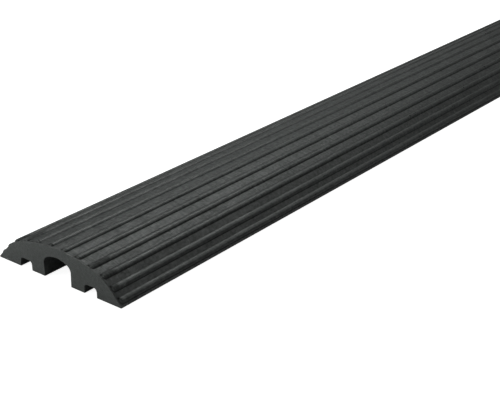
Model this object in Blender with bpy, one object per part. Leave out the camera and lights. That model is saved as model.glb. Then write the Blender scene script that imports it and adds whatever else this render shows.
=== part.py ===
"""Floor cord cover: a low rubber ramp that lies over cords on a floor.

The real thing is one moulding. Its section is an arch with a broad crown and steeper
flanks, and three channels open to the floor: a wide one in the middle and a small one
on each side. Twelve rounded grip beads run along the top and stop just short of both
end faces. Metres, +Z up. X runs across the ramp and Y along it. The origin is on the
floor, in the middle of the footprint.
"""
import math

import bmesh
import bpy
from mathutils import Matrix, Vector

# Overall size
LENGTH = 1.200
WIDTH = 0.180

# Arch, without its beads: a broad cap, a steeper flank below each shoulder and a blunt foot
CROWN_HEIGHT = 0.0378
SHOULDER_X = 0.0661
SHOULDER_HEIGHT = 0.0246
FLANK_BULGE = 0.0007
FOOT_HEIGHT = 0.0015

# Middle channel: a low roof arc, rounder haunches and legs that lean in a little
MIDDLE_HEIGHT = 0.0270
MIDDLE_HALF_WIDTH = 0.0198
MIDDLE_FLOOR_HALF_WIDTH = 0.0193
MIDDLE_ROOF_RADIUS = 0.0320
MIDDLE_HAUNCH_RADIUS = 0.0080

# Side channels, one each side: upright walls, a flat roof and rounded top corners
SIDE_CENTRE_X = 0.0476
SIDE_WIDTH = 0.0172
SIDE_HEIGHT = 0.0106
SIDE_CORNER_RADIUS = 0.0042

# Grip beads: how far each pair lies from the middle, and how high it stands on the arch
BEAD_PLACES = (0.0098, 0.0288, 0.0474, 0.0637, 0.0761, 0.0859)
BEAD_RISES = (0.0019, 0.0019, 0.0019, 0.0020, 0.0023, 0.0023)
BEAD_HALF_WIDTH = 0.0042
BEAD_HALF_DEPTH = 0.0028
BEAD_END_LENGTH = 0.0024
BEAD_SETBACK = 0.0020

# Facets of the curved stretches
CAP_STEPS = 28
FLANK_STEPS = 6
ROOF_STEPS = 8
HAUNCH_STEPS = 5
CORNER_STEPS = 4
BEAD_SIDES = 16
BEAD_RINGS = 9

WELD_DISTANCE = 0.00001
RUBBER_COLOUR = (0.055, 0.058, 0.056, 1.0)
RUBBER_ROUGHNESS = 0.55


def clear_scene():
    for obj in list(bpy.data.objects):
        bpy.data.objects.remove(obj)


def new_collection(name):
    collection = bpy.data.collections.new(name)
    bpy.context.scene.collection.children.link(collection)
    return collection


def circle_through(start, end, bulge):
    """Centre and radius of the arc from start to end that stands bulge to the left of its chord."""
    chord = end - start
    left = Vector((-chord.y, chord.x)).normalized()
    radius = (chord.length ** 2 / 4 + bulge ** 2) / (2 * bulge)
    return (start + end) / 2 + left * (bulge - radius), radius


def arc_points(centre, radius, start_angle, end_angle, steps):
    """Points at equal angles on the arc, both of its ends among them."""
    points = []
    for step in range(steps + 1):
        angle = start_angle + (end_angle - start_angle) * step / steps
        points.append(centre + Vector((math.cos(angle), math.sin(angle))) * radius)
    return points


def angle_at(centre, point):
    return math.atan2(point.y - centre.y, point.x - centre.x)


def mirrored(points):
    """The same points on the other side of X = 0, in the opposite order."""
    return [Vector((-p.x, p.y)) for p in reversed(points)]


SHOULDER = Vector((SHOULDER_X, SHOULDER_HEIGHT))
FOOT = Vector((WIDTH / 2, FOOT_HEIGHT))
CAP = circle_through(Vector((-SHOULDER_X, SHOULDER_HEIGHT)), SHOULDER, CROWN_HEIGHT - SHOULDER_HEIGHT)
FLANK = circle_through(SHOULDER, FOOT, FLANK_BULGE)


def arch_outline():
    """The outer line of the arch, from the floor at -X over the crown to the floor at +X."""
    shoulder_angle = angle_at(CAP[0], SHOULDER)
    cap = arc_points(*CAP, math.pi - shoulder_angle, shoulder_angle, CAP_STEPS)
    flank = arc_points(*FLANK, angle_at(FLANK[0], SHOULDER), angle_at(FLANK[0], FOOT), FLANK_STEPS)
    down_to_floor = flank[1:] + [Vector((WIDTH / 2, 0.0))]
    return mirrored(down_to_floor) + cap + down_to_floor


def middle_channel_outline():
    """The three arcs of the middle channel meet without a corner, from the floor at +X to that at -X."""
    roof_centre = Vector((0.0, MIDDLE_HEIGHT - MIDDLE_ROOF_RADIUS))
    reach = MIDDLE_ROOF_RADIUS - MIDDLE_HAUNCH_RADIUS
    haunch_x = MIDDLE_HALF_WIDTH - MIDDLE_HAUNCH_RADIUS
    haunch_rise = math.sqrt(reach ** 2 - haunch_x ** 2)
    haunch_centre = Vector((haunch_x, roof_centre.y + haunch_rise))
    meeting = math.atan2(haunch_rise, haunch_x)
    haunch = arc_points(haunch_centre, MIDDLE_HAUNCH_RADIUS, 0.0, meeting, HAUNCH_STEPS)
    roof = arc_points(roof_centre, MIDDLE_ROOF_RADIUS, meeting, math.pi - meeting, ROOF_STEPS)
    leg = [Vector((MIDDLE_FLOOR_HALF_WIDTH, 0.0))]
    return leg + haunch + roof[1:-1] + mirrored(leg + haunch)


def side_channel_outline():
    """The side channel at +X, from its outer edge on the floor to its inner one."""
    half = SIDE_WIDTH / 2
    corner = Vector((half - SIDE_CORNER_RADIUS, SIDE_HEIGHT - SIDE_CORNER_RADIUS))
    half_line = [Vector((half, 0.0))]
    half_line += arc_points(corner, SIDE_CORNER_RADIUS, 0.0, math.pi / 2, CORNER_STEPS)
    return [p + Vector((SIDE_CENTRE_X, 0.0)) for p in half_line + mirrored(half_line)]


def section_outline():
    """The whole section as one closed line, X across and Y up."""
    side = side_channel_outline()
    return arch_outline() + side + middle_channel_outline() + mirrored(side)


def rubber():
    material = bpy.data.materials.new("black_rubber")
    material.use_nodes = True
    shader = material.node_tree.nodes["Principled BSDF"]
    shader.inputs["Base Color"].default_value = RUBBER_COLOUR
    shader.inputs["Roughness"].default_value = RUBBER_ROUGHNESS
    shader.inputs["Metallic"].default_value = 0.0
    return material


def extruded_section(name, collection):
    """The section as a filled flat curve, stood upright, drawn out along Y and made a mesh."""
    curve = bpy.data.curves.new(name + "_outline", "CURVE")
    curve.dimensions = "2D"
    curve.fill_mode = "BOTH"
    curve.extrude = LENGTH / 2
    outline = section_outline()
    spline = curve.splines.new("POLY")
    spline.points.add(len(outline) - 1)
    for point, place in zip(spline.points, outline):
        point.co = (place.x, place.y, 0.0, 1.0)
    spline.use_cyclic_u = True
    drawn = bpy.data.objects.new(name + "_outline", curve)
    drawn.rotation_euler.x = math.radians(90)
    collection.objects.link(drawn)
    bpy.context.view_layer.update()

    graph = bpy.context.evaluated_depsgraph_get()
    mesh = bpy.data.meshes.new_from_object(drawn.evaluated_get(graph))
    mesh.transform(drawn.matrix_world)
    bpy.data.objects.remove(drawn)
    shape = bmesh.new()
    shape.from_mesh(mesh)
    bmesh.ops.remove_doubles(shape, verts=shape.verts, dist=WELD_DISTANCE)
    bmesh.ops.recalc_face_normals(shape, faces=shape.faces)
    shape.to_mesh(mesh)
    shape.free()
    mesh.name = name
    body = bpy.data.objects.new(name, mesh)
    collection.objects.link(body)
    return body


def bead_mesh():
    """One grip bead: a stretched ball of flattened section, lying along Y, its top towards +Z."""
    mesh = bpy.data.meshes.new("grip_bead")
    shape = bmesh.new()
    bmesh.ops.create_uvsphere(shape, u_segments=BEAD_SIDES, v_segments=BEAD_RINGS, radius=1.0)
    bmesh.ops.rotate(shape, verts=shape.verts, matrix=Matrix.Rotation(math.radians(90), 3, "X"))
    # The number of rings is odd, so the two halves part between the widest pair of rings.
    widest = math.cos(math.pi / 2 / BEAD_RINGS)
    straight_half = LENGTH / 2 - BEAD_SETBACK - BEAD_END_LENGTH
    for vertex in shape.verts:
        end = math.copysign(straight_half, vertex.co.y)
        vertex.co.x *= BEAD_HALF_WIDTH / widest
        vertex.co.y = vertex.co.y * BEAD_END_LENGTH + end
        vertex.co.z *= BEAD_HALF_DEPTH / widest
    shape.to_mesh(mesh)
    shape.free()
    return mesh


def add_beads(collection):
    """A pair of beads at each place, square to the arch, sunk so that its rise stands proud."""
    mesh = bead_mesh()
    for place, rise in zip(BEAD_PLACES, BEAD_RISES):
        centre, radius = CAP if place < SHOULDER_X else FLANK
        across = place - centre.x
        outward = Vector((across, math.sqrt(radius ** 2 - across ** 2))).normalized()
        core = centre + outward * (radius + rise - BEAD_HALF_DEPTH)
        lean = math.atan2(outward.x, outward.y)
        for side in (1, -1):
            bead = bpy.data.objects.new("grip_bead", mesh)
            bead.location = (side * core.x, 0.0, core.y)
            bead.rotation_euler.y = side * lean
            bead.hide_render = True
            bead.display_type = "WIRE"
            collection.objects.link(bead)


def main():
    clear_scene()
    parts = new_collection("floor_cord_cover")
    helpers = new_collection("joined_beads")
    cover = extruded_section("cord_cover", parts)
    cover.data.materials.append(rubber())
    add_beads(helpers)
    join = cover.modifiers.new("grip_beads", "BOOLEAN")
    join.operation = "UNION"
    join.operand_type = "COLLECTION"
    join.collection = helpers
    join.solver = "EXACT"


main()
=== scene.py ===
"""The looks of the floor cord cover: its rubber moulding in full detail, a floor, light and camera."""
import math

import bpy
import numpy as np
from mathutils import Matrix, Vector


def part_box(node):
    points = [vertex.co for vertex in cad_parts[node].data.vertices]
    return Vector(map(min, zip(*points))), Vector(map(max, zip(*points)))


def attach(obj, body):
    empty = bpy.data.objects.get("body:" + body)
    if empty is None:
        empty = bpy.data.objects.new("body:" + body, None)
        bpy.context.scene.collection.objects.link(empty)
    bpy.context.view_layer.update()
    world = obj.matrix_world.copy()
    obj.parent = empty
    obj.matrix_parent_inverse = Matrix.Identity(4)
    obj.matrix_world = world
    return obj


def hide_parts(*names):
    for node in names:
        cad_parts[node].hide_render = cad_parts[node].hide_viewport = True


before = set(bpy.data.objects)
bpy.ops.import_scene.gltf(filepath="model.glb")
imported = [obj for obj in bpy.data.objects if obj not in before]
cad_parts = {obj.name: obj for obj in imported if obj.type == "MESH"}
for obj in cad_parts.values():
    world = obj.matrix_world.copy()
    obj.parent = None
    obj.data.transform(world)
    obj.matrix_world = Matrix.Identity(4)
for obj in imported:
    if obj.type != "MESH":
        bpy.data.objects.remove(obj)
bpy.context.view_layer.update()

# The cover: one rubber moulding, pressed in a heated steel mould.
# Its section is an arch over three channels that are open to the floor, and its grip beads
# are cut into the mould as long grooves with rounded ends. Nothing is fixed to it.

far_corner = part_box("cord_cover")[1]
HALF_WIDTH = far_corner.x
HALF_LENGTH = far_corner.y

# The arch below its beads: a broad cap and a steeper flank, joined by an easy bend, and a blunt foot
SHOULDER = np.array([0.0661, 0.0246])
CROWN_HEIGHT = 0.0378
FLANK_BULGE = 0.0007
FOOT_HEIGHT = 0.0015
SHOULDER_BEND = 0.0022
SHOULDER_REACH = 0.0080

# The middle channel: a low roof arc, rounder haunches and legs that lean in a little
MIDDLE_HEIGHT = 0.0270
MIDDLE_HALF_WIDTH = 0.0198
MIDDLE_FLOOR_HALF_WIDTH = 0.0193
ROOF_RADIUS = 0.0320
HAUNCH_RADIUS = 0.0080

# The side channels: upright walls, a flat roof and rounded top corners
SIDE_CENTRE_X = 0.0476
SIDE_WIDTH = 0.0172
SIDE_HEIGHT = 0.0106
SIDE_CORNER_RADIUS = 0.0042

# The beads, by their distance from the middle across the cover: their outer sides are the steeper
BEAD_PLACES = (0.0098, 0.0288, 0.0474, 0.0637, 0.0761, 0.0859)
BEAD_HALF_WIDTH = 0.0039
BEAD_LEAN = 0.0004
BEAD_RISES = (0.0019, 0.0019, 0.0019, 0.0020, 0.0023, 0.0023)
BEAD_FILLET = 0.00028
BEAD_SETBACK = 0.0020
BEAD_END_LENGTH = 0.0024
BEAD_END_SQUARENESS = 2.6
BEAD_ROUND_SHARE = 0.98

# Each pair of beads, from the crown outwards, is dull from its near ends up to here
DULL_LENGTHS = (0, 0, 0.027, 0.018, 0.010, 0)
DULL_BLEND = 0.003

# Painted shade darkens the creases beside the beads, the inner ones less, and painted shade makes dark
# spots at their ends' inner corners
PAINTED_CREASE_WIDTH = 0.0010
INNER_PAINTED_CREASE = 0.50
CORNER_REACH = 0.0014
CORNER_PLACE = 0.8 * BEAD_HALF_WIDTH
CORNER_SETBACK = 0.0006

# The mould leaves every edge a little rounded, and the rubber sets a little uneven
FLOOR_EDGE_RADIUS = 0.0005
FOOT_RADIUS = 0.0004
END_EDGE_RADIUS = 0.0003
UNEVENNESS = 0.00012
UNEVEN_ACROSS = 0.045
UNEVEN_ALONG = 0.110
UNEVEN_WAVES = 9
UNEVEN_SEED = 7

# How finely the section is drawn
ARCH_STEP = 0.0001
BEAD_STEP = 0.0005
BEAD_MARGIN = 0.0012
BAND_STEP = 0.0024
CLOSEST_STEP = 0.0002
STATION_DIGITS = 6
HAUNCH_STEP = 0.0009
ROOF_STEP = 0.0018
CORNER_STEP = 0.0008
FLOOR_STEP = 0.0030
EDGE_STEPS = 4

# How finely the length is drawn: closely over the bead ends, then in steps that grow
END_STEP = 0.0004
END_SPAN = 0.0062
GROWING_SPAN = 0.0300
GROWN_STEP = 0.00066
GROWTH = 0.16
LONG_STEP = 0.0200


def circle_through(start, end, bulge):
    """Centre and radius of the arc from start to end that stands bulge to the left of its chord."""
    chord = end - start
    length = np.hypot(*chord)
    radius = (length ** 2 / 4 + bulge ** 2) / (2 * bulge)
    left = np.array([-chord[1], chord[0]]) / length
    return (start + end) / 2 + left * (bulge - radius), radius


def arc_between(centre, radius, start_angle, end_angle, step):
    """Points about step apart on the arc, both of its ends among them."""
    count = max(2, math.ceil(abs(end_angle - start_angle) * radius / step))
    angles = np.linspace(start_angle, end_angle, count + 1)
    return centre + radius * np.stack([np.cos(angles), np.sin(angles)], 1)


def mirrored(points):
    """The same points on the other side of X = 0, in the opposite order."""
    return points[::-1] * (-1, 1)


def angle_at(centre, point):
    """The direction of the point as seen from the centre."""
    return math.atan2(point[1] - centre[1], point[0] - centre[0])


def smooth_arch():
    """The bare arch as closely spaced points from the -X foot to the +X foot, the shoulders eased."""
    foot = np.array([HALF_WIDTH, FOOT_HEIGHT])
    cap_circle = circle_through(SHOULDER * (-1, 1), SHOULDER, CROWN_HEIGHT - SHOULDER[1])
    flank_circle = circle_through(SHOULDER, foot, FLANK_BULGE)
    top_angle = angle_at(cap_circle[0], SHOULDER)
    cap = arc_between(*cap_circle, math.pi - top_angle, top_angle, ARCH_STEP)
    flank_angles = [angle_at(flank_circle[0], end) for end in (SHOULDER, foot)]
    flank = arc_between(*flank_circle, *flank_angles, ARCH_STEP)
    line = np.concatenate([mirrored(flank)[:-1], cap, flank[1:]])
    reach = int(SHOULDER_BEND * 2 / ARCH_STEP)
    weights = np.hanning(2 * reach + 1)
    weights /= weights.sum()
    eased = np.stack([np.convolve(line[:, k], weights, "same") for k in (0, 1)], 1)
    from_shoulder = np.abs(np.abs(line[:, 0]) - SHOULDER[0])
    ease = np.clip(1 - from_shoulder / SHOULDER_REACH, 0, 1)[:, None]
    ease = ease * ease * (3 - 2 * ease)
    return line * (1 - ease) + eased * ease


arch = smooth_arch()
arch_step = np.hypot(*np.diff(arch, axis=0).T)
arch_distance = np.concatenate([[0.0], np.cumsum(arch_step)])
arch_distance -= arch_distance[-1] / 2


def arch_point(distance):
    """Places on the bare arch, by distance from the crown along it."""
    return np.stack([np.interp(distance, arch_distance, arch[:, k]) for k in (0, 1)], 1)


def arch_normal(distance):
    """Outward normals of the bare arch, by distance from the crown along it."""
    reach = 0.0004
    along = arch_point(distance + reach) - arch_point(distance - reach)
    along /= np.hypot(*along.T)[:, None]
    return along[:, ::-1] * (-1, 1)


bead_distances = np.interp(BEAD_PLACES, arch[:, 0], arch_distance)
bead_distances = np.concatenate([-bead_distances[::-1], bead_distances])
bead_rises = np.array(BEAD_RISES[::-1] + BEAD_RISES)[:, None]


def outward_of_bead(distance):
    """How far each place lies outward of the middle of each bead, one row a bead."""
    return (distance - bead_distances[:, None]) * np.sign(bead_distances)[:, None]


def bead_height(distance, along):
    """How far each bead's dome stands over the bare arch, one row a bead, below zero beside it."""
    round_radius = (BEAD_HALF_WIDTH ** 2 + bead_rises ** 2) / (2 * bead_rises)
    straight_half = HALF_LENGTH - BEAD_SETBACK - BEAD_END_LENGTH
    past_end = max(abs(along) - straight_half, 0) * BEAD_HALF_WIDTH / BEAD_END_LENGTH
    power = BEAD_END_SQUARENESS
    outward = outward_of_bead(distance) - BEAD_LEAN
    half_width = BEAD_HALF_WIDTH - BEAD_LEAN * np.sign(outward)
    across = np.abs(outward) * BEAD_HALF_WIDTH / half_width
    away = (across ** power + past_end ** power) ** (1 / power)
    inside = np.minimum(away, BEAD_ROUND_SHARE * round_radius)
    return np.sqrt(round_radius ** 2 - inside ** 2) - (round_radius - bead_rises) - (away - inside)


def filleted(dome):
    """The dome's height with a small fillet where it meets the arch."""
    easing = np.maximum(BEAD_FILLET - np.abs(dome), 0) / BEAD_FILLET
    return np.maximum(dome, 0) + easing ** 2 * BEAD_FILLET / 4


def unevenness(distance, along):
    """A slow waviness of the surface, never proud of it, made of a few crossed waves."""
    chance = np.random.default_rng(UNEVEN_SEED)
    wave = np.zeros(len(distance))
    for _ in range(UNEVEN_WAVES):
        across_turns = chance.uniform(-1, 1) * 2 * math.pi / UNEVEN_ACROSS
        along_turns = chance.uniform(0.5, 1) * 2 * math.pi / UNEVEN_ALONG
        wave += np.sin(across_turns * distance + along_turns * along + chance.uniform(0, 2 * math.pi))
    return -UNEVENNESS * (0.5 + 0.5 * wave / UNEVEN_WAVES)


# The arch stops short of the foot's upper edge, where a small round takes over
SLOPE_REACH = 0.0020
above_foot = arch[-round(SLOPE_REACH / ARCH_STEP)]
foot_slope = math.atan2(above_foot[1] - arch[-1][1], arch[-1][0] - above_foot[0])
arch_end = arch_distance[-1] - FOOT_RADIUS * math.tan((math.pi / 2 - foot_slope) / 2)


def arch_stations():
    """Distances from the crown at which the section is drawn: close on the beads, wide between them."""
    span = BEAD_HALF_WIDTH + BEAD_MARGIN
    fine = [np.arange(-span, span + BEAD_STEP / 2, BEAD_STEP) + centre for centre in bead_distances]
    stations = list(np.concatenate(fine))
    edges = sorted([c - span for c in bead_distances] + [c + span for c in bead_distances])
    edges = [-arch_end] + edges + [arch_end]
    for start, end in zip(edges[0::2], edges[1::2]):
        if end > start:
            count = max(2, math.ceil((end - start) / BAND_STEP))
            stations += list(np.linspace(start, end, count + 1))
    stations = np.unique(np.round(np.clip(stations, -arch_end, arch_end), STATION_DIGITS))
    keep = np.concatenate([[True], np.diff(stations) > CLOSEST_STEP])
    # The first and the last belong to the rounds of the feet
    return stations[keep][1:-1]


def floor_corner(corner, before, after, radius=FLOOR_EDGE_RADIUS):
    """A small round in place of the corner, from the side that comes before it to the one after."""
    a = (before - corner) / np.hypot(*(before - corner))
    b = (after - corner) / np.hypot(*(after - corner))
    half = math.acos(np.clip(a @ b, -1, 1)) / 2
    middle = (a + b) / np.hypot(*(a + b))
    centre = corner + middle * radius / math.sin(half)
    first = corner + a * radius / math.tan(half) - centre
    last = corner + b * radius / math.tan(half) - centre
    start = math.atan2(first[1], first[0])
    turn = (math.atan2(last[1], last[0]) - start + math.pi) % (2 * math.pi) - math.pi
    angles = start + turn * np.linspace(0, 1, EDGE_STEPS + 1)
    return centre + radius * np.stack([np.cos(angles), np.sin(angles)], 1)


def middle_channel_roof():
    """The middle channel above its floor corners, from +X to -X."""
    roof_centre = np.array([0.0, MIDDLE_HEIGHT - ROOF_RADIUS])
    haunch_x = MIDDLE_HALF_WIDTH - HAUNCH_RADIUS
    haunch_rise = math.sqrt((ROOF_RADIUS - HAUNCH_RADIUS) ** 2 - haunch_x ** 2)
    haunch_centre = np.array([haunch_x, roof_centre[1] + haunch_rise])
    meeting = math.atan2(haunch_rise, haunch_x)
    haunch = arc_between(haunch_centre, HAUNCH_RADIUS, 0, meeting, HAUNCH_STEP)
    roof = arc_between(roof_centre, ROOF_RADIUS, meeting, math.pi - meeting, ROOF_STEP)
    return np.concatenate([haunch, roof[1:-1], mirrored(haunch)])


def side_channel_roof():
    """The side channel at +X above its floor corners, from its outer wall to its inner one."""
    half = SIDE_WIDTH / 2
    corner = np.array([half - SIDE_CORNER_RADIUS, SIDE_HEIGHT - SIDE_CORNER_RADIUS])
    outer = arc_between(corner, SIDE_CORNER_RADIUS, 0, math.pi / 2, CORNER_STEP)
    return np.concatenate([outer, mirrored(outer)]) + (SIDE_CENTRE_X, 0)


def filled_in(points, step):
    """The same line with points added where two lie further than step apart."""
    line = [points[0]]
    for a, b in zip(points[:-1], points[1:]):
        count = max(1, math.ceil(np.hypot(*(b - a)) / step))
        line += [a + (b - a) * k / count for k in range(1, count + 1)]
    return np.array(line)


def underside():
    """The line below the arch, from the +X foot to the -X foot, with rounded floor corners."""
    side = side_channel_roof()
    middle = middle_channel_roof()
    outer_x = SIDE_CENTRE_X + SIDE_WIDTH / 2
    inner_x = SIDE_CENTRE_X - SIDE_WIDTH / 2
    foot = np.array([HALF_WIDTH, 0.0])
    foot_top = np.array([HALF_WIDTH, FOOT_HEIGHT])
    flank_end = arch_point(np.array([arch_end]))[0]
    outer = np.array([outer_x, 0.0])
    inner = np.array([inner_x, 0.0])
    leg = np.array([MIDDLE_FLOOR_HALF_WIDTH, 0.0])
    right = [
        floor_corner(foot_top, flank_end, foot, FOOT_RADIUS),
        floor_corner(foot, foot_top, outer, FOOT_RADIUS),
        floor_corner(outer, foot, side[0]),
        side,
        floor_corner(inner, side[-1], leg),
        floor_corner(leg, inner, middle[0]),
    ]
    right = filled_in(np.concatenate(right), FLOOR_STEP)
    return np.concatenate([right, middle, mirrored(right)])


def long_stations():
    """Distances along the cover at which the section is drawn: close at the ends, wide between."""
    near = END_EDGE_RADIUS + np.arange(0, END_SPAN, END_STEP)
    grow = [near[-1]]
    while grow[-1] < GROWING_SPAN:
        grow.append(grow[-1] + min(LONG_STEP, GROWN_STEP + GROWTH * (grow[-1] - near[-1])))
    ends = np.concatenate([near, grow[1:]])
    inner = HALF_LENGTH - ends[-1]
    count = math.ceil(2 * inner / LONG_STEP)
    middle = np.linspace(-inner, inner, count + 1)[1:-1]
    return np.concatenate([-HALF_LENGTH + ends, middle, HALF_LENGTH - ends[::-1]])


distances = arch_stations()
below = underside()
loop_size = len(distances) + len(below)
bare_arch = arch_point(distances)
bare_normal = arch_normal(distances)
beads_outward = outward_of_bead(distances)
# The creases' painted shade is full on each bead's outer side and half on its inner side
painted_crease_depth = np.where(beads_outward > 0, 1.0, INNER_PAINTED_CREASE)
dull_lengths = np.array(DULL_LENGTHS[::-1] + DULL_LENGTHS)[:, None]


def marks_at(dome, along):
    """How strongly each mark shows over the arch, from 0 to 1, the painted shade of creases and bead
    corners among them.
    """
    share = np.clip(dome / bead_rises, 0, 1)
    from_near_end = along + HALF_LENGTH
    dull = np.clip((dull_lengths - from_near_end) / DULL_BLEND + 0.5, 0, 1)
    dull *= np.clip((from_near_end - BEAD_SETBACK) / BEAD_END_LENGTH - 0.5, 0, 1)
    from_bead_end = HALF_LENGTH - BEAD_SETBACK - abs(along)
    # The corner mark is painted shade: a dark spot at the inner corner in front of each bead end
    from_corner = np.hypot(beads_outward + CORNER_PLACE, from_bead_end - CORNER_SETBACK)
    return {
        "bead_share": share,
        "dull_top": share * dull,
        "painted_crease_shade": painted_crease_depth * np.exp(-(dome / PAINTED_CREASE_WIDTH) ** 2),
        "painted_corner_shade": np.exp(-(from_corner / CORNER_REACH) ** 2),
    }


rings = []
marks = {}
for station in long_stations():
    dome = bead_height(distances, station)
    height = filleted(dome).max(0) + unevenness(distances, station)
    loop = np.concatenate([bare_arch + bare_normal * height[:, None], below])
    rings.append(np.stack([loop[:, 0], np.full(loop_size, station), loop[:, 1]], 1))
    for name, strength in marks_at(dome, station).items():
        marks.setdefault(name, []).append(np.concatenate([strength.max(0), np.zeros(len(below))]))


def loop_normals(loop):
    """Outward normals of a closed clockwise line in X and Z."""
    ahead = np.roll(loop, -1, axis=0) - loop
    behind = loop - np.roll(loop, 1, axis=0)
    ahead /= np.hypot(*ahead.T)[:, None]
    behind /= np.hypot(*behind.T)[:, None]
    along = ahead + behind
    along /= np.hypot(*along.T)[:, None]
    return along[:, ::-1] * (-1, 1)


def end_rings(ring, side):
    """Rings that round the edge of an end face, outermost first."""
    flat = ring[:, (0, 2)]
    inward = -loop_normals(flat)
    made = []
    for step in range(1, EDGE_STEPS + 1):
        angle = math.pi / 2 * step / EDGE_STEPS
        shrunk = flat + inward * END_EDGE_RADIUS * (1 - math.cos(angle))
        y = side * (HALF_LENGTH - END_EDGE_RADIUS * (1 - math.sin(angle)))
        made.append(np.stack([shrunk[:, 0], np.full(loop_size, y), shrunk[:, 1]], 1))
    return made


rings = end_rings(rings[0], -1)[::-1] + rings + end_rings(rings[-1], 1)
unmarked = [np.zeros(loop_size)] * EDGE_STEPS

points = np.concatenate(rings)
last = (len(rings) - 1) * loop_size
faces = []
for ring_start in range(0, last, loop_size):
    next_start = ring_start + loop_size
    for k in range(loop_size):
        n = (k + 1) % loop_size
        faces.append((ring_start + k, ring_start + n, next_start + n, next_start + k))
faces.append(tuple(range(loop_size - 1, -1, -1)))
faces.append(tuple(range(last, last + loop_size)))

cover_mesh = bpy.data.meshes.new("rubber_cover")
cover_mesh.from_pydata(points.tolist(), [], faces)
cover_mesh.shade_smooth()
for polygon in cover_mesh.polygons[-2:]:
    polygon.use_smooth = False
    polygon.material_index = 1
for name, values in marks.items():
    attribute = cover_mesh.attributes.new(name, "FLOAT", "POINT")
    attribute.data.foreach_set("value", np.concatenate(unmarked + values + unmarked).astype(np.float32))
cover = bpy.data.objects.new("rubber_cover", cover_mesh)
bpy.context.scene.collection.objects.link(cover)

# The rubber: black, filled with carbon and a little chalk, satin from the steel of the mould
RUBBER_COLOUR = (0.0390, 0.0412, 0.0400)
RUBBER_ROUGHNESS = 0.45
SKIN_RELIEF = 0.00009

# How long the patches of each pattern in the moulded skin are along X, Y and Z
CLOUD_PATCH = (0.016, 0.024, 0.016)
BLOTCH_PATCH = (0.0030, 0.0042, 0.0030)
SCUFF_PATCH = (0.014, 0.0017, 0.014)
STREAK_PATCH = (0.0012, 0.050, 0.0012)
GRAIN_PATCH = (0.0007, 0.0007, 0.0007)
DUST_PATCH = (0.003, 0.004, 0.003)

# How far each pattern swings the skin's colour, as a share of it, and its roughness
CLOUD_SWING = (0.24, 0.08)
BLOTCH_SWING = (0.50, -0.07)
SCUFF_SWING = (0.42, -0.06)

# What each mark adds where it is full: to the colour, as a share of it, and to the roughness
# The crease and corner marks darken the colour as painted shade, and they also add roughness
MARK_LOOKS = {
    "painted_crease_shade": (-0.85, 0.35),
    "painted_corner_shade": (-0.75, 0.40),
    "dull_top": (-0.40, 0.30),
}

# Bead tops are glossier in streaks, and the densest dust shows as lighter specks
STREAK_ROUGHNESS = -0.16
DUST_CONTRAST = 3.0
SPECKS_ABOVE = 0.93
SPECK_LOOK = 0.60

# How much of the grain and the blotches goes into the skin's relief, beside the scuffs
GRAIN_RELIEF = 0.35
BLOTCH_RELIEF = 1.8

# The end faces, against the flat end plates of the mould, are darker, duller and rougher
END_FACE_SHADE = 0.86
END_FACE_ROUGHNESS = 0.50
END_FACE_RELIEF = 0.00016
END_CLOUD_PATCH = (0.014, 0.014, 0.014)
END_CLOUD_SWING = 0.20
END_CLOUD_ROUGHNESS = 0.10
END_BLOTCH_PATCH = (0.003, 0.003, 0.003)
END_BLOTCH_SWING = 0.34
END_BLOTCH_RELIEF = 0.8
END_GRAIN_PATCH = (0.0005, 0.0005, 0.0005)

# Scuffs across the crown fade down the flanks, from this height, by this share a metre, to this share
SCUFFS_LOW = 0.018
SCUFFS_FADE = 110
SCUFFS_LEFT = 0.25


def put(tree, source, target):
    """Links a socket to the target socket, or sets a plain value on it."""
    if isinstance(source, bpy.types.NodeSocket):
        tree.links.new(source, target)
    else:
        target.default_value = source


def reckoned(tree, operation, *values, clamp=False):
    """The result of a Math node with these values or sockets."""
    node = tree.nodes.new("ShaderNodeMath")
    node.operation = operation
    node.use_clamp = clamp
    for value, socket in zip(values, node.inputs):
        put(tree, value, socket)
    return node.outputs[0]


def cloudy_group():
    """Soft random patches, as long along X, Y and Z as the input says, in metres."""
    group = bpy.data.node_groups.new("cloudy", "ShaderNodeTree")
    group.interface.new_socket("Patch", in_out="INPUT", socket_type="NodeSocketVector")
    for name in ("Shift", "Detail", "Contrast"):
        group.interface.new_socket(name, in_out="INPUT", socket_type="NodeSocketFloat")
    group.interface.new_socket("Value", in_out="OUTPUT", socket_type="NodeSocketFloat")
    given = group.nodes.new("NodeGroupInput").outputs
    place = group.nodes.new("ShaderNodeTexCoord").outputs["Object"]
    stretch = group.nodes.new("ShaderNodeVectorMath")
    stretch.operation = "DIVIDE"
    put(group, place, stretch.inputs[0])
    put(group, given["Patch"], stretch.inputs[1])
    noise = group.nodes.new("ShaderNodeTexNoise")
    noise.noise_dimensions = "4D"
    noise.inputs["Scale"].default_value = 1.0
    put(group, stretch.outputs[0], noise.inputs["Vector"])
    put(group, given["Shift"], noise.inputs["W"])
    put(group, given["Detail"], noise.inputs["Detail"])
    centred = reckoned(group, "SUBTRACT", noise.outputs[0], 0.5)
    spread = reckoned(group, "MULTIPLY", centred, given["Contrast"])
    value = reckoned(group, "ADD", spread, 0.5, clamp=True)
    put(group, value, group.nodes.new("NodeGroupOutput").inputs["Value"])
    return group


CLOUDY = cloudy_group()


def cloudy(tree, patch, shift, detail=2.0, contrast=2.4):
    """The cloudy group placed in a material, from 0 to 1. Another shift gives other patches."""
    node = tree.nodes.new("ShaderNodeGroup")
    node.node_tree = CLOUDY
    node.inputs["Patch"].default_value = patch
    node.inputs["Shift"].default_value = shift
    node.inputs["Detail"].default_value = detail
    node.inputs["Contrast"].default_value = contrast
    return node.outputs["Value"]


def swung(tree, value, swing, about=0.0):
    """A value from 0 to 1 made one from about - swing to about + swing."""
    return reckoned(tree, "MULTIPLY_ADD", value, 2 * swing, about - swing)


def altered(tree, mark, share):
    """The factor that adds this share of the colour where the mark is full, and less where it is faint."""
    return reckoned(tree, "MULTIPLY_ADD", mark, share, 1.0)


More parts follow.
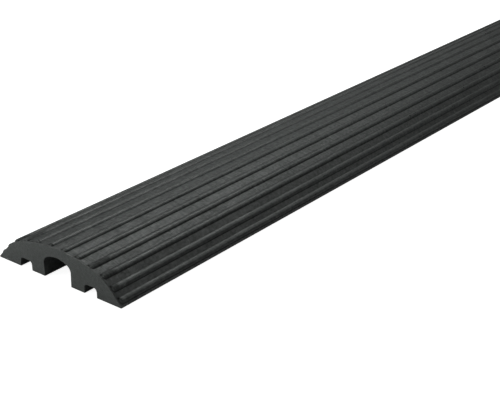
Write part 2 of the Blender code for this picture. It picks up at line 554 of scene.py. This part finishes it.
def chained(tree, operation, first, *others):
    """The values joined one after another by the same operation."""
    for other in others:
        first = reckoned(tree, operation, first, other)
    return first


def part_of(tree, value, share):
    """The value times the share."""
    return reckoned(tree, "MULTIPLY", value, share)


def new_material(name):
    """A new material and its node tree, which holds a Principled shader."""
    material = bpy.data.materials.new(name)
    material.use_nodes = True
    return material, material.node_tree


def finish_rubber(tree, shade, roughness, height, depth):
    """Sets the rubber's colour times a shade, its roughness, and a relief of the given depth."""
    shader = tree.nodes["Principled BSDF"]
    colour = tree.nodes.new("ShaderNodeVectorMath")
    colour.operation = "SCALE"
    colour.inputs[0].default_value = RUBBER_COLOUR
    put(tree, shade, colour.inputs["Scale"])
    put(tree, colour.outputs[0], shader.inputs["Base Color"])
    put(tree, roughness, shader.inputs["Roughness"])
    relief = tree.nodes.new("ShaderNodeBump")
    relief.inputs["Strength"].default_value = 1.0
    relief.inputs["Distance"].default_value = depth
    put(tree, height, relief.inputs["Height"])
    put(tree, relief.outputs[0], shader.inputs["Normal"])


def scuffs_across(tree):
    """Fine marks across the cover, full on the crown and faint on the flanks, about 0.5."""
    scuffs = cloudy(tree, SCUFF_PATCH, shift=3.0)
    place = tree.nodes.new("ShaderNodeSeparateXYZ")
    put(tree, tree.nodes.new("ShaderNodeTexCoord").outputs["Object"], place.inputs[0])
    crown = reckoned(
        tree, "MULTIPLY_ADD", place.outputs["Z"], SCUFFS_FADE, -SCUFFS_LOW * SCUFFS_FADE, clamp=True
    )
    strength = reckoned(tree, "MULTIPLY_ADD", crown, 1 - SCUFFS_LEFT, SCUFFS_LEFT)
    return reckoned(tree, "MULTIPLY_ADD", reckoned(tree, "SUBTRACT", scuffs, 0.5), strength, 0.5)


def moulded_skin():
    """The moulded skin: cloudy satin, scuffs across, polished bead tops, and rougher creases and bead-end
    corners darkened with painted shade.
    """
    material, tree = new_material("moulded_rubber")
    mark = {}
    for name in marks:
        node = tree.nodes.new("ShaderNodeAttribute")
        node.attribute_name = name
        mark[name] = node.outputs["Fac"]
    clouds = cloudy(tree, CLOUD_PATCH, shift=1.0)
    blotches = cloudy(tree, BLOTCH_PATCH, shift=2.0, detail=3.0)
    scuffs = scuffs_across(tree)
    streaks = cloudy(tree, STREAK_PATCH, shift=4.0, detail=3.0)
    grain = cloudy(tree, GRAIN_PATCH, shift=5.0, detail=1.0)
    dust = cloudy(tree, DUST_PATCH, shift=6.0, detail=3.0, contrast=DUST_CONTRAST)
    specks = reckoned(tree, "GREATER_THAN", dust, SPECKS_ABOVE)
    patterns = ((clouds, CLOUD_SWING), (blotches, BLOTCH_SWING), (scuffs, SCUFF_SWING))
    shade = chained(
        tree,
        "MULTIPLY",
        *[swung(tree, pattern, swing[0], about=1.0) for pattern, swing in patterns],
        *[altered(tree, mark[name], look[0]) for name, look in MARK_LOOKS.items()],
        altered(tree, specks, SPECK_LOOK),
    )
    roughness = chained(
        tree,
        "ADD",
        RUBBER_ROUGHNESS,
        *[swung(tree, pattern, swing[1]) for pattern, swing in patterns],
        chained(tree, "MULTIPLY", mark["bead_share"], streaks, STREAK_ROUGHNESS),
        *[part_of(tree, mark[name], look[1]) for name, look in MARK_LOOKS.items()],
    )
    fine = part_of(tree, grain, GRAIN_RELIEF)
    coarse = part_of(tree, blotches, BLOTCH_RELIEF)
    height = chained(tree, "ADD", scuffs, fine, coarse)
    finish_rubber(tree, shade, roughness, height, SKIN_RELIEF)
    return material


def end_face_skin():
    """The end faces, with a coarser grain than the moulded skin and no scuffs."""
    material, tree = new_material("end_face_rubber")
    clouds = cloudy(tree, END_CLOUD_PATCH, shift=11.0)
    blotches = cloudy(tree, END_BLOTCH_PATCH, shift=12.0, detail=3.0)
    grain = cloudy(tree, END_GRAIN_PATCH, shift=13.0, detail=1.0)
    shade = chained(
        tree,
        "MULTIPLY",
        END_FACE_SHADE,
        swung(tree, clouds, END_CLOUD_SWING, about=1.0),
        swung(tree, blotches, END_BLOTCH_SWING, about=1.0),
    )
    roughness = reckoned(tree, "MULTIPLY_ADD", clouds, END_CLOUD_ROUGHNESS, END_FACE_ROUGHNESS)
    height = chained(tree, "ADD", grain, part_of(tree, blotches, END_BLOTCH_RELIEF))
    finish_rubber(tree, shade, roughness, height, END_FACE_RELIEF)
    return material


cover_mesh.materials.append(moulded_skin())
cover_mesh.materials.append(end_face_skin())

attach(cover, "root")
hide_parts("cord_cover")

# The floor: a plain white studio floor, far larger than the cover, and lit so brightly
# for the camera that it shows as plain white.

FLOOR_SIZE = 12.0
FLOOR_DROP = 0.0002
FLOOR_WHITE = 0.82
FLOOR_ROUGHNESS = 0.9
FLOOR_GLOW = 0.90

bpy.ops.mesh.primitive_plane_add(size=FLOOR_SIZE, location=(0, 0, -FLOOR_DROP))
floor = bpy.context.object
floor.name = "studio_floor"


def white_floor():
    """White paint, which also glows for the camera alone, so that the glow lights nothing."""
    material, tree = new_material("white_floor")
    paint = tree.nodes["Principled BSDF"]
    paint.inputs["Base Color"].default_value = (FLOOR_WHITE, FLOOR_WHITE, FLOOR_WHITE, 1)
    paint.inputs["Roughness"].default_value = FLOOR_ROUGHNESS
    paint.inputs["Specular IOR Level"].default_value = 0.0
    glow = tree.nodes.new("ShaderNodeEmission")
    glow.inputs["Color"].default_value = (1, 1, 1, 1)
    seen = tree.nodes.new("ShaderNodeLightPath").outputs["Is Camera Ray"]
    put(tree, part_of(tree, seen, FLOOR_GLOW), glow.inputs["Strength"])
    both = tree.nodes.new("ShaderNodeAddShader")
    put(tree, paint.outputs[0], both.inputs[0])
    put(tree, glow.outputs[0], both.inputs[1])
    put(tree, both.outputs[0], tree.nodes["Material Output"].inputs["Surface"])
    return material


floor.data.materials.append(white_floor())

# The light: soft panels that stand low round the cover, the brightest at its near end, soft
# panels overhead behind it, and a little light from the air all round, which shows white.

AIR_LIGHT = 0.06
AIR_GLOW = 0.92
PANEL_AIM = Vector((0, 0, 0.02))
PANEL_TINT = (0.955, 1.0, 0.975)

# Each panel's name, turn from behind the cover, distance, height, size and power. The powers are a
# computed fit to the photograph's brightness, rounded, apart from the last, which is given rather than
# fitted
PANELS = (
    ("low_panel_190", 190, 2.4, 0.40, (0.85, 0.75), 9.3),
    ("low_panel_210", 210, 2.4, 0.40, (0.85, 0.75), 6.9),
    ("low_panel_230", 230, 2.4, 0.40, (0.85, 0.75), 2.7),
    ("near_panel", 215, 1.5, 0.35, (0.6, 0.6), 4.4),
    ("front_panel", 232, 1.8, 1.60, (0.8, 0.8), 0.7),
    ("left_panel", 300, 2.4, 0.80, (0.9, 0.6), 0.7),
    ("back_left_panel", 318, 2.6, 0.50, (1.3, 0.5), 0.5),
    ("high_left_panel", 318, 1.8, 2.20, (2.0, 1.0), 21.4),
    ("high_back_panel", 0, 0.9, 2.60, (1.4, 1.2), 6.8),
    ("high_right_panel", 38, 1.9, 2.00, (1.6, 1.0), 8.0),
)

air = bpy.data.worlds.new("studio_air")
bpy.context.scene.world = air
air.use_nodes = True
sky = air.node_tree
backdrop = sky.nodes["Background"].inputs
backdrop["Color"].default_value = (1, 1, 1, 1)
seen = sky.nodes.new("ShaderNodeLightPath").outputs["Is Camera Ray"]
put(sky, reckoned(sky, "MULTIPLY_ADD", seen, AIR_GLOW, AIR_LIGHT), backdrop["Strength"])


def soft_panel(name, turn, away, height, size, power):
    """A panel that faces the cover, turned clockwise from behind it by turn degrees."""
    data = bpy.data.lights.new(name, "AREA")
    data.shape = "RECTANGLE"
    data.size, data.size_y = size
    data.energy = power
    data.color = PANEL_TINT
    panel = bpy.data.objects.new(name, data)
    angle = math.radians(turn)
    panel.location = (away * math.sin(angle), away * math.cos(angle), height)
    panel.rotation_euler = (PANEL_AIM - panel.location).to_track_quat("-Z", "Y").to_euler()
    panel.visible_camera = False
    bpy.context.scene.collection.objects.link(panel)


for panel_facts in PANELS:
    soft_panel(*panel_facts)

# The camera: it stands near and to the right of the near end, at the photograph's angle, and
# looks down along the cover, whose far end lies outside the picture. Its place, angles and lens
# are a computed fit to the photograph's edges.

CAMERA_PLACE = (0.7925, -1.2847, 0.5583)
CAMERA_TURN = 38.35
CAMERA_DIP = 24.39
LENS = 82.03
SENSOR_WIDTH = 36.0

lens = bpy.data.cameras.new("camera")
lens.lens = LENS
lens.sensor_width = SENSOR_WIDTH
camera = bpy.data.objects.new("camera", lens)
camera.location = CAMERA_PLACE
camera.rotation_euler = (math.radians(90 - CAMERA_DIP), 0, math.radians(CAMERA_TURN))
bpy.context.scene.collection.objects.link(camera)
bpy.context.scene.camera = camera
bpy.context.scene.view_settings.view_transform = "Standard"
